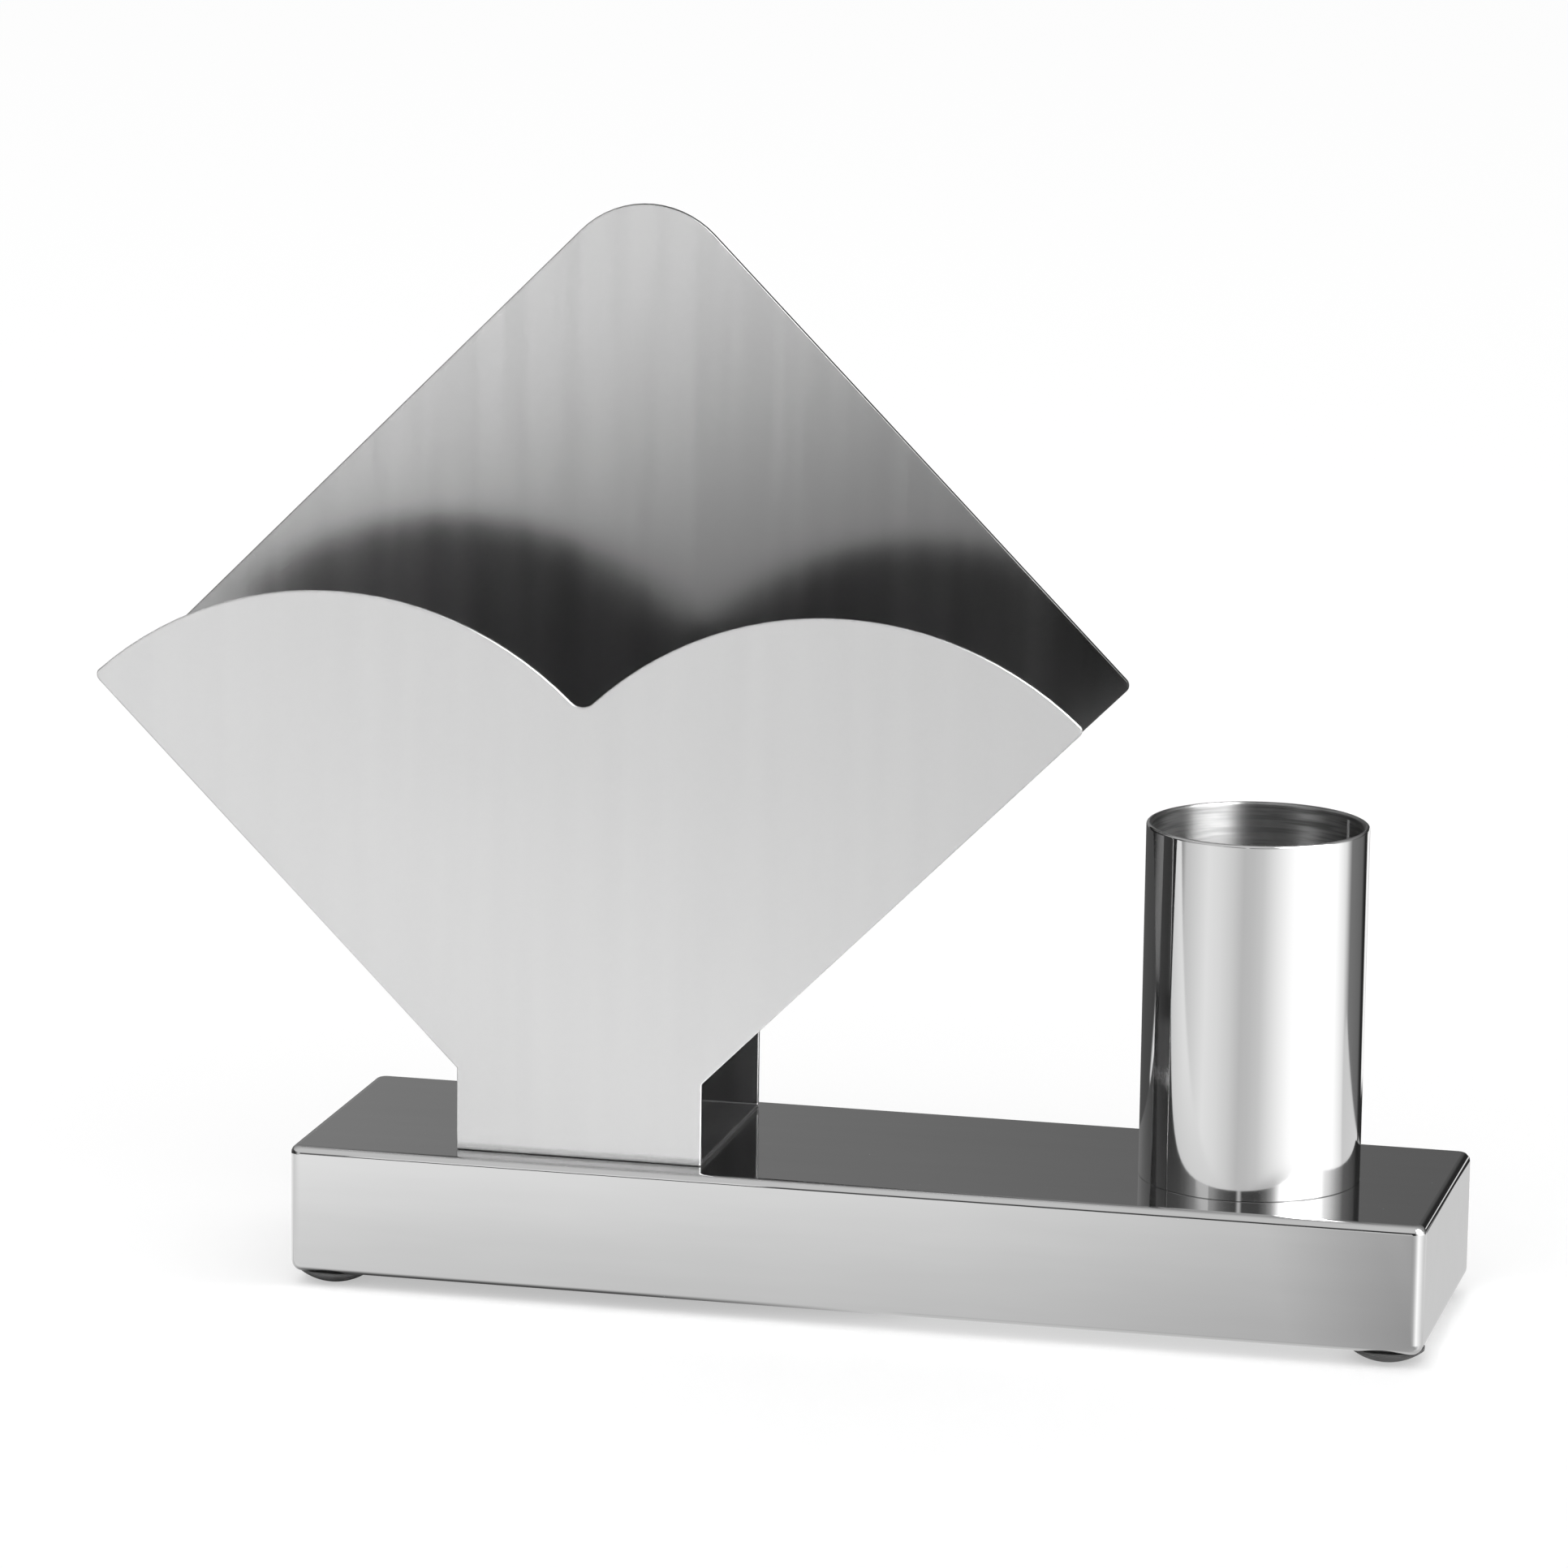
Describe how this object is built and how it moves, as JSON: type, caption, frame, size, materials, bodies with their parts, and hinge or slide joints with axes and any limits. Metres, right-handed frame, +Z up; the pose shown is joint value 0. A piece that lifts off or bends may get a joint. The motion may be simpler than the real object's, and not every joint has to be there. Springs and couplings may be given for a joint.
{
  "type": "napkin holder",
  "caption": "Stainless napkin holder: folded rack with a lobed front plate and a diamond back plate, beside a small toothpick cup, on a low folded base with rubber feet.",
  "frame": {"origin": "middle of the overall outline seen from above, at the level that the rubber feet stand on", "axes": "+X along the base towards the cup's end, +Y from the lobed front plate to the back plate, +Z up"},
  "size_m": [0.196, 0.046, 0.1545],
  "materials": {
    "polished_steel": "mirror-polished stainless steel",
    "satin_steel": "finely brushed stainless steel with an upright grain",
    "plain_steel": "plain stainless fasteners",
    "foot_rubber": "matte dark rubber"
  },
  "bodies": {
    "root": {"base_shell": "polished_steel", "napkin_rack": "satin_steel", "rack_stud_left": "plain_steel", "rack_stud_right": "plain_steel", "rack_washer_left": "plain_steel", "rack_washer_right": "plain_steel", "rack_nut_left": "plain_steel", "rack_nut_right": "plain_steel", "cup_tube": "polished_steel", "cup_floor": "polished_steel", "cup_stud": "plain_steel", "cup_washer": "plain_steel", "cup_nut": "plain_steel", "foot_front_left": "foot_rubber", "foot_front_right": "foot_rubber", "foot_back_left": "foot_rubber", "foot_back_right": "foot_rubber"}
  },
  "joints": []
}
